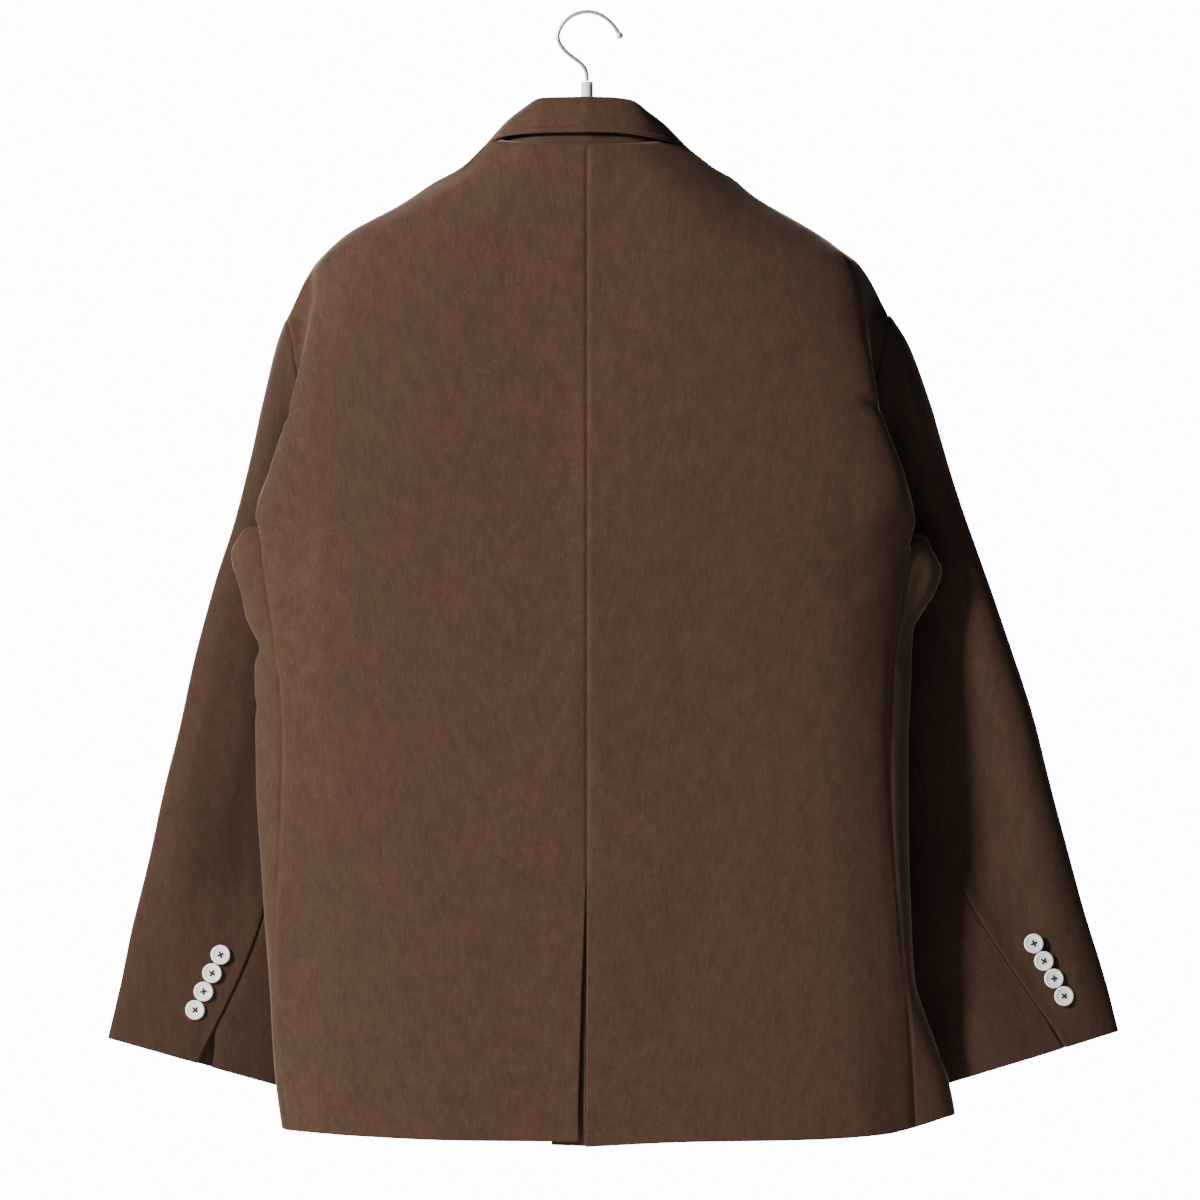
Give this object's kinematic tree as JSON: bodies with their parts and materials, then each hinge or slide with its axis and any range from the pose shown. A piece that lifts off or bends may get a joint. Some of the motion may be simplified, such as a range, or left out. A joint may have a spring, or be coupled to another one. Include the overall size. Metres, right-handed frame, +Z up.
{
  "type": "tailored jacket on a hanger",
  "caption": "Single-breasted tailored jacket in moleskin, hung empty on a hanger, with a notched collar, two-piece sleeves, button cuffs and a centre back vent.",
  "frame": {"origin": "the inner top of the hanger's hook, where a rail carries it", "axes": "+X to the wearer's left, +Y out of the jacket's back, +Z up; the jacket hangs with its back towards +Y"},
  "size_m": [0.771, 0.1135, 0.865],
  "materials": {
    "moleskin": "short dense nap, dark brown, soft sheen at grazing angles",
    "button": "pale pearly, softly polished",
    "hanger_plastic": "white, smooth, satin",
    "hook_steel": "polished wire"
  },
  "bodies": {
    "root": {"back_left": "moleskin", "back_right": "moleskin", "vent_underlap": "moleskin", "side_left": "moleskin", "side_right": "moleskin", "front_left": "moleskin", "front_right": "moleskin", "lapel_left": "moleskin", "lapel_right": "moleskin", "collar_stand": "moleskin", "collar_fall": "moleskin", "upper_sleeve_left": "moleskin", "under_sleeve_left": "moleskin", "upper_sleeve_right": "moleskin", "under_sleeve_right": "moleskin", "cuff_button_left_1": "button", "cuff_button_left_2": "button", "cuff_button_left_3": "button", "cuff_button_left_4": "button", "cuff_button_right_1": "button", "cuff_button_right_2": "button", "cuff_button_right_3": "button", "cuff_button_right_4": "button", "front_button_1": "button", "front_button_2": "button", "front_button_3": "button", "hanger": "hanger_plastic", "hanger_hook": "hook_steel"}
  },
  "joints": []
}
